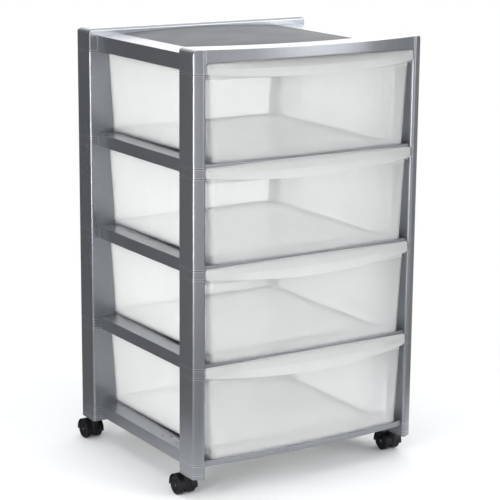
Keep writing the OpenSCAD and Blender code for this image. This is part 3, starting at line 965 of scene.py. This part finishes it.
@dataclass
class Castor:
    """One twin-wheel castor."""

    corner: str
    paints: Paintbox
    spokes: int = 6
    spoke_reach: float = 8 * MM
    spoke_sink: float = 0.85 * MM
    spoke_size: Vec = (0.9 * MM, 1.3 * MM, 5.4 * MM)

    def dress(self, nodes: dict[str, bpy.types.Object]) -> None:
        """Gives the castor's nodes their finishes.

        Args:
            nodes: The CAD nodes by name.
        """
        finishes = {
            "castor_hood": Surface.HOOD,
            "castor_stem": Surface.STEEL,
            "castor_axle": Surface.STEEL,
            "wheel_left": Surface.WHEEL,
            "wheel_right": Surface.WHEEL,
        }
        for part, surface in finishes.items():
            self.paints.paint(nodes[f"{self.corner}_{part}"], surface)

    def build(self, spoke: Growth) -> None:
        """Grows the spokes in the sunk outer face of each wheel.

        Args:
            spoke: The tree that makes them.
        """
        values = {
            "Count": self.spokes,
            "Reach": self.spoke_reach,
            "Size": self.spoke_size,
            "Material": self.paints.materials[Surface.WHEEL],
        }
        for side, sign in (("left", -1), ("right", 1)):
            wheel = f"{self.corner}_wheel_{side}"
            low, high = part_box(wheel)
            face = low.x if sign < 0 else high.x
            centre = (face - sign * self.spoke_sink, (low.y + high.y) / 2, (low.z + high.z) / 2)
            name = f"{wheel}_spokes"
            keep(spoke.grow(name, point_mesh(name, [centre]), values), wheel)


def keep(piece: bpy.types.Object, body: str) -> None:
    """Lets a finished piece ride on its body, and logs it.

    Args:
        piece: The piece, in place.
        body: The CAD body it moves with.
    """
    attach(piece, body)
    LOG.info("%s: %d faces, rides on %s", piece.name, len(piece.data.polygons), body)


def soften(obj: bpy.types.Object, angle: float) -> None:
    """Shades an object smooth, except across edges sharper than the angle.

    Args:
        obj: The CAD node.
        angle: The angle in degrees.
    """
    limit = math.cos(math.radians(angle))
    mesh = obj.data
    mesh.polygons.foreach_set("use_smooth", [True] * len(mesh.polygons))
    beside: dict[tuple[int, int], list[int]] = {}
    for poly in mesh.polygons:
        for key in poly.edge_keys:
            beside.setdefault(key, []).append(poly.index)
    for edge in mesh.edges:
        faces = beside.get(tuple(sorted(edge.vertices)), [])
        if len(faces) == 2:
            a, b = (mesh.polygons[f].normal for f in faces)
            edge.use_edge_sharp = a.dot(b) < limit


# ---------- studio ----------


@dataclass(frozen=True)
class Lamp:
    """One soft area light."""

    name: str
    place: Vec
    aim: Vec
    size: Pair
    watts: float

    def build(self) -> None:
        """Adds the light."""
        data = bpy.data.lights.new(self.name, "AREA")
        data.shape = "RECTANGLE"
        data.size, data.size_y = self.size
        data.energy = self.watts
        obj = bpy.data.objects.new(self.name, data)
        bpy.context.scene.collection.objects.link(obj)
        obj.visible_camera = False
        obj.location = self.place
        obj.rotation_euler = (Vector(self.aim) - Vector(self.place)).to_track_quat("-Z", "Y").to_euler()


@dataclass(frozen=True)
class Studio:
    """Plain pale floor, soft lights, white background and the photo's camera.

    The pairs are the places, in metres, between which the floor fades: to white away from
    the shadow, and in what the plastic mirrors behind the tower, near it and to the right.
    The world's two pairs are the directions along X between which its mirror image fades.
    """

    place: Vec = (-1.4566, -2.2786, 0.9638)
    yaw: float = 0.5687
    pitch: float = 0.2321
    roll: float = 0.0082
    lens: float = 127.5
    sensor: float = 36
    shift: Pair = (0.001, 0.0026)
    clip: Pair = (0.05, 60)
    floor_half: float = 9.0
    floor_shade: float = 0.84
    shadow_fade: Pair = (0.32, 0.66)
    behind_fade: Pair = (0.24, 0.6)
    back_dark: float = 0.10
    near_fade: Pair = (0.55, 2.5)
    near_mirror: float = 0.20
    right_fade: Pair = (0.7, 2.0)
    right_mirror: float = 0.35
    sky: Colour = (0.84, 0.86, 0.88)
    sky_strength: float = 0.90
    mirror_strength: float = 1.05
    world_left: Pair = (-0.35, 0.15)
    world_right: Pair = (0.72, 0.98)
    lamps: tuple[Lamp, ...] = (
        Lamp("top_box", (0.3, 0.2, 2.6), (0, 0, 0.4), (3.2, 3.2), 28),
        Lamp("front_box", (1.6, -2.6, 1.3), (0, 0, 0.35), (1.6, 2.0), 50),
        Lamp("edge_strip", (-1.45, -0.68, 0.56), (0, 0, 0.40), (0.30, 1.1), 20),
        Lamp("back_box", (0.9, 2.6, 1.4), (0, 0, 0.4), (3.4, 1.8), 17),
    )

    def camera(self) -> None:
        """Sets the camera where the photo's was."""
        data = bpy.data.cameras.new("photo_camera")
        data.sensor_width = self.sensor
        data.lens = self.lens
        data.shift_x, data.shift_y = self.shift
        data.clip_start, data.clip_end = self.clip
        obj = bpy.data.objects.new("photo_camera", data)
        bpy.context.scene.collection.objects.link(obj)
        level = math.cos(self.pitch)
        ahead = Vector((math.sin(self.yaw) * level, math.cos(self.yaw) * level, -math.sin(self.pitch)))
        right = Vector((math.cos(self.yaw), -math.sin(self.yaw), 0))
        up = right.cross(ahead)
        side = math.cos(self.roll) * right + math.sin(self.roll) * up
        rise = -math.sin(self.roll) * right + math.cos(self.roll) * up
        turn = Matrix((side, rise, -ahead)).transposed().to_4x4()
        obj.matrix_world = Matrix.Translation(self.place) @ turn
        bpy.context.scene.camera = obj

    def floor(self) -> None:
        """Lays the pale floor, white to the camera beyond the shadow."""
        h = self.floor_half
        mesh = bpy.data.meshes.new("floor")
        mesh.from_pydata([(-h, -h, 0), (h, -h, 0), (h, h, 0), (-h, h, 0)], [], [(0, 1, 2, 3)])
        obj = bpy.data.objects.new("floor", mesh)
        bpy.context.scene.collection.objects.link(obj)
        nodes = Nodes("floor")
        path = nodes.add("ShaderNodeLightPath").outputs
        place = nodes.axes(nodes.coords)
        away = nodes.add("ShaderNodeVectorMath", {0: nodes.coords}, operation="LENGTH").outputs["Value"]
        behind = nodes.ramp(nodes.calc("SUBTRACT", place[Y], place[X]), *self.behind_fade)
        mirrored_behind = nodes.calc("MULTIPLY", behind, path["Is Glossy Ray"])
        mirrored_front = nodes.calc("SUBTRACT", path["Is Glossy Ray"], mirrored_behind)
        shade = nodes.ramp(mirrored_behind, 0.0, 1.0, self.floor_shade, self.back_dark)
        lit = nodes.add("ShaderNodeBsdfDiffuse", {"Color": shade}).outputs[0]
        seen = nodes.calc("MAXIMUM", path["Is Camera Ray"], path["Is Transmission Ray"])
        beyond = nodes.ramp(away, *self.shadow_fade, interpolation_type="SMOOTHSTEP")
        share = nodes.calc("MULTIPLY", beyond, nodes.calc("MAXIMUM", seen, mirrored_front))
        near = nodes.ramp(away, *self.near_fade, self.near_mirror)
        sideways = nodes.ramp(place[X], *self.right_fade, 1.0, self.right_mirror)
        mirror = nodes.calc("MULTIPLY", near, sideways)
        strength = nodes.mix(mirrored_front, 1.0, mirror)
        white = nodes.add("ShaderNodeEmission", {"Strength": strength}).outputs[0]
        mesh.materials.append(nodes.finish(nodes.blend(share, lit, white)))

    def world(self) -> None:
        """White behind all that the camera sees or sees through, softer grey for the light.

        What the plastic mirrors is white too, but darker to the left and the right.
        """
        world = bpy.data.worlds.new("studio")
        bpy.context.scene.world = world
        world.use_nodes = True
        graph = Graph(world.node_tree)

        def sky(colour: Colour, strength: Socket | float) -> Socket:
            """An even sky of one colour."""
            return graph.add("ShaderNodeBackground", {0: (*colour, 1.0), 1: strength}).outputs[0]

        path = graph.add("ShaderNodeLightPath").outputs
        seen = graph.calc("MAXIMUM", path["Is Camera Ray"], path["Is Transmission Ray"])
        across = graph.axes(graph.add("ShaderNodeTexCoord").outputs["Generated"])[X]
        left = graph.ramp(across, *self.world_left, self.back_dark, self.mirror_strength)
        right = graph.ramp(across, *self.world_right, 1.0, self.back_dark)
        mirrored = sky(WHITE, graph.calc("MULTIPLY", left, right))
        soft = graph.blend(path["Is Glossy Ray"], sky(self.sky, self.sky_strength), mirrored)
        graph.add("ShaderNodeOutputWorld", {0: graph.blend(seen, soft, sky(WHITE, 1.0))})

    def build(self) -> None:
        """Builds the studio."""
        view = bpy.context.scene.view_settings
        view.view_transform = "Standard"
        view.look = "None"
        self.camera()
        self.floor()
        self.world()
        for lamp in self.lamps:
            lamp.build()


def main() -> None:
    """Builds the looks in order."""
    logging.basicConfig(level=logging.INFO, format="%(name)s: %(message)s")
    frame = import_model()
    nodes = frame["nodes"]
    for obj in nodes.values():
        soften(obj, SMOOTH_BELOW_DEGREES)
    sizes = Measures()
    paints = Paintbox(sizes)
    shell = Shell(sizes, paints)
    shell.dress(nodes)
    shell.build(rib_tree())
    bead = bead_tree()
    for tier in TIERS:
        drawer = Drawer(tier, sizes, paints)
        drawer.dress(nodes)
        drawer.build(nodes[drawer.name], bead)
    spoke = spoke_tree()
    for corner in CORNERS:
        castor = Castor(corner, paints)
        castor.dress(nodes)
        castor.build(spoke)
    Studio().build()


if __name__ == "__main__":
    main()
